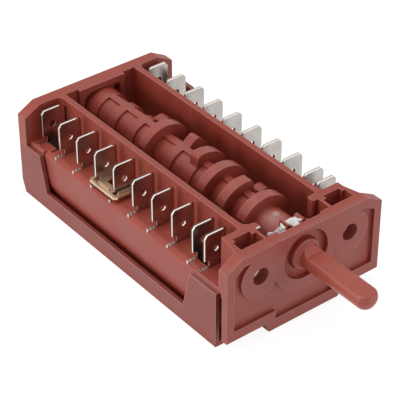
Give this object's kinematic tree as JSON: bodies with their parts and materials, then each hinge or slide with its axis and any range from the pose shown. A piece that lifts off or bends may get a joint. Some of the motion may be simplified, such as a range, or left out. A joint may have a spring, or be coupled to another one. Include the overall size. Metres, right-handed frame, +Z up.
{
  "type": "oven selector switch",
  "caption": "Long rotary cam selector switch for an oven: open moulded body with a D-shaped spindle, a row of blade terminals on each side and a cam drum between them.",
  "frame": {"origin": "spindle axis at the front mounting face", "axes": "-Y out along the spindle, +Y to the rear, +X to the right seen from the front, +Z up towards the open side and the blade tips"},
  "size_m": [0.0484, 0.1106, 0.0274],
  "materials": {
    "housing_plastic": "matte",
    "cover_plastic": "matte",
    "drum_plastic": "matte",
    "spindle_plastic": "satin",
    "brass_plate": "satin",
    "spring_steel": "satin",
    "nut_steel": "zinc plated",
    "contact_metal": "bright",
    "terminal_metal": "plated",
    "spring_bronze": "satin"
  },
  "bodies": {
    "switch": {"housing": "housing_plastic", "base_cover": "cover_plastic", "jumper": "brass_plate", "detent_spring": "spring_steel", "nuts": "nut_steel", "moving_contacts": "contact_metal", "fixed_contacts": "contact_metal", "left_terminal_1": "terminal_metal", "left_terminal_2": "terminal_metal", "left_terminal_3": "terminal_metal", "left_terminal_4": "terminal_metal", "left_terminal_5": "terminal_metal", "left_terminal_6": "terminal_metal", "left_terminal_7": "terminal_metal", "left_terminal_8": "terminal_metal", "left_terminal_9": "terminal_metal", "left_terminal_10": "terminal_metal", "right_terminal_1": "terminal_metal", "right_terminal_2": "terminal_metal", "right_terminal_3": "terminal_metal", "right_terminal_4": "terminal_metal", "right_terminal_5": "terminal_metal", "right_terminal_6": "terminal_metal", "right_terminal_7": "terminal_metal", "right_terminal_8": "terminal_metal", "right_terminal_9": "terminal_metal", "right_terminal_10": "terminal_metal", "contact_spring_1": "spring_bronze", "contact_spring_2": "spring_bronze", "contact_spring_3": "spring_bronze", "contact_spring_4": "spring_bronze", "contact_spring_5": "spring_bronze", "contact_spring_6": "spring_bronze", "contact_spring_7": "spring_bronze", "contact_spring_8": "spring_bronze", "contact_spring_9": "spring_bronze"},
    "drum": {"cam_drum": "drum_plastic", "spindle": "spindle_plastic"}
  },
  "joints": [
    {"name": "drum_turn", "type": "hinge", "parent": "switch", "child": "drum", "pos_m": [0, 0, 0], "axis": [0, 1, 0], "continuous": true, "deforming": ["contact_spring_1", "contact_spring_2", "contact_spring_3", "contact_spring_4", "contact_spring_5", "contact_spring_6", "contact_spring_7", "contact_spring_8", "contact_spring_9", "detent_spring"]}
  ]
}
